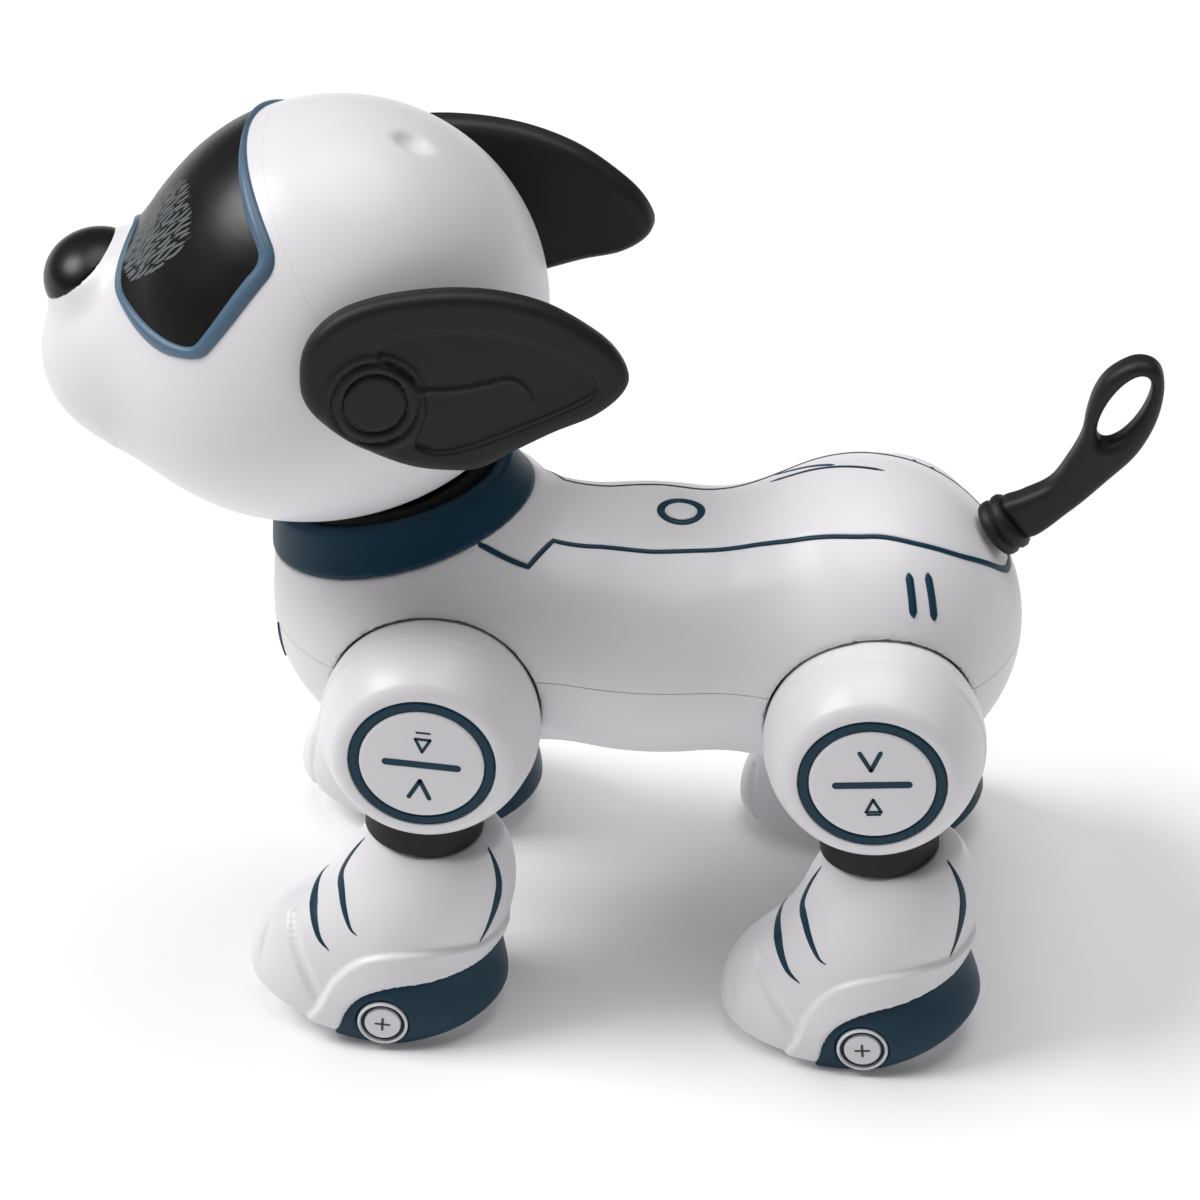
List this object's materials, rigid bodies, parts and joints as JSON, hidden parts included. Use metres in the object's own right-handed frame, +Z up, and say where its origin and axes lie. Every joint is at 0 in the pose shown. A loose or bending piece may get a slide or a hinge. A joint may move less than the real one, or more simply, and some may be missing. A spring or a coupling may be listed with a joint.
{
  "type": "toy robot dog",
  "caption": "Toy robot dog with jointed legs on wheels, a panning round head with a visor, floppy pinned ears and a looped tail.",
  "frame": {"origin": "on the floor, on the mid-plane, under the middle of the dog's length", "axes": "+X forward, towards the nose; +Y the dog's left; +Z up"},
  "size_m": [0.2392, 0.1182, 0.2007],
  "materials": {
    "white_shell": "satin",
    "navy_trim": "satin",
    "steel_blue": "satin",
    "black_plastic": "matte",
    "black_gloss": "glossy",
    "soft_black": "matte",
    "wheel_rubber": "matte",
    "motor_case": "satin",
    "cell_wrap": "glossy",
    "green_board": "matte"
  },
  "bodies": {
    "torso": {"torso_shell": "white_shell", "back_cover": "white_shell", "belly_shell": "white_shell", "battery_door": "white_shell", "neck_collar": "navy_trim", "battery_pack": "cell_wrap", "main_board": "green_board", "speaker": "black_plastic", "front_left_hip_motor": "motor_case", "front_right_hip_motor": "motor_case", "rear_left_hip_motor": "motor_case", "rear_right_hip_motor": "motor_case", "neck_cup": "black_plastic", "neck_motor": "motor_case"},
    "head": {"face_shell": "white_shell", "skull_shell": "white_shell", "visor": "black_gloss", "visor_trim": "steel_blue", "nose": "black_gloss", "led_board": "green_board", "neck_post": "black_plastic"},
    "left_ear": {"ear_left": "soft_black", "ear_pin_left": "soft_black"},
    "right_ear": {"ear_right": "soft_black", "ear_pin_right": "soft_black"},
    "tail": {"tail": "soft_black"},
    "back_button": {"back_button": "navy_trim"},
    "power_switch": {"power_switch": "black_plastic"},
    "front_left_leg": {"front_left_hip_shell": "white_shell", "front_left_hip_ring": "navy_trim", "front_left_hip_badge": "white_shell", "front_left_ankle_post": "black_plastic", "front_left_paw_shell": "white_shell", "front_left_heel_cover": "navy_trim"},
    "front_right_leg": {"front_right_hip_shell": "white_shell", "front_right_hip_ring": "navy_trim", "front_right_hip_badge": "white_shell", "front_right_ankle_post": "black_plastic", "front_right_paw_shell": "white_shell", "front_right_heel_cover": "navy_trim"},
    "rear_left_leg": {"rear_left_hip_shell": "white_shell", "rear_left_hip_ring": "navy_trim", "rear_left_hip_badge": "white_shell", "rear_left_ankle_post": "black_plastic", "rear_left_paw_shell": "white_shell", "rear_left_heel_cover": "navy_trim"},
    "rear_right_leg": {"rear_right_hip_shell": "white_shell", "rear_right_hip_ring": "navy_trim", "rear_right_hip_badge": "white_shell", "rear_right_ankle_post": "black_plastic", "rear_right_paw_shell": "white_shell", "rear_right_heel_cover": "navy_trim"},
    "front_left_wheel": {"front_left_wheel": "wheel_rubber", "front_left_wheel_axle": "white_shell"},
    "front_right_wheel": {"front_right_wheel": "wheel_rubber", "front_right_wheel_axle": "white_shell"},
    "rear_left_wheel": {"rear_left_wheel": "wheel_rubber", "rear_left_wheel_axle": "white_shell"},
    "rear_right_wheel": {"rear_right_wheel": "wheel_rubber", "rear_right_wheel_axle": "white_shell"}
  },
  "joints": [
    {"name": "front_left_hip_joint", "type": "hinge", "parent": "torso", "child": "front_left_leg", "pos_m": [0.03401, 0.038, 0.0738], "axis": [0, 1, 0], "range_deg": [-50, 35]},
    {"name": "front_right_hip_joint", "type": "hinge", "parent": "torso", "child": "front_right_leg", "pos_m": [0.03401, -0.038, 0.0738], "axis": [0, 1, 0], "range_deg": [-50, 35]},
    {"name": "rear_left_hip_joint", "type": "hinge", "parent": "torso", "child": "rear_left_leg", "pos_m": [-0.06199, 0.038, 0.07447], "axis": [0, 1, 0], "range_deg": [-35, 50]},
    {"name": "rear_right_hip_joint", "type": "hinge", "parent": "torso", "child": "rear_right_leg", "pos_m": [-0.06199, -0.038, 0.07447], "axis": [0, 1, 0], "range_deg": [-35, 50]},
    {"name": "front_left_wheel_spin", "type": "hinge", "parent": "front_left_leg", "child": "front_left_wheel", "pos_m": [0.04345, 0.038, 0.0075], "axis": [0, 1, 0], "continuous": true},
    {"name": "front_right_wheel_spin", "type": "hinge", "parent": "front_right_leg", "child": "front_right_wheel", "pos_m": [0.04345, -0.038, 0.0075], "axis": [0, 1, 0], "continuous": true},
    {"name": "rear_left_wheel_spin", "type": "hinge", "parent": "rear_left_leg", "child": "rear_left_wheel", "pos_m": [-0.06245, 0.038, 0.0075], "axis": [0, 1, 0], "continuous": true},
    {"name": "rear_right_wheel_spin", "type": "hinge", "parent": "rear_right_leg", "child": "rear_right_wheel", "pos_m": [-0.06245, -0.038, 0.0075], "axis": [0, 1, 0], "continuous": true},
    {"name": "neck_pan", "type": "hinge", "parent": "torso", "child": "head", "pos_m": [0.05571, 0, 0.1559], "axis": [0.2588, 0, 0.9659], "range_deg": [-30, 30]},
    {"name": "left_ear_hinge", "type": "hinge", "parent": "head", "child": "left_ear", "pos_m": [0.04411, 0.0421, 0.1577], "axis": [-0.1898, 0.9762, 0.1045], "range_deg": [-20, 40]},
    {"name": "right_ear_hinge", "type": "hinge", "parent": "head", "child": "right_ear", "pos_m": [0.04411, -0.0421, 0.1577], "axis": [-0.1898, -0.9762, 0.1045], "range_deg": [-40, 20]},
    {"name": "tail_swivel", "type": "hinge", "parent": "torso", "child": "tail", "pos_m": [-0.08549, 0, 0.106], "axis": [-0.766, 0, 0.6428], "range_deg": [-35, 35]},
    {"name": "back_button_press", "type": "slide", "parent": "torso", "child": "back_button", "axis": [0, 0, -1], "range_m": [0, 0.0008]},
    {"name": "power_switch_slide", "type": "slide", "parent": "torso", "child": "power_switch", "axis": [1, 0, 0], "range_m": [0, 0.003]}
  ]
}
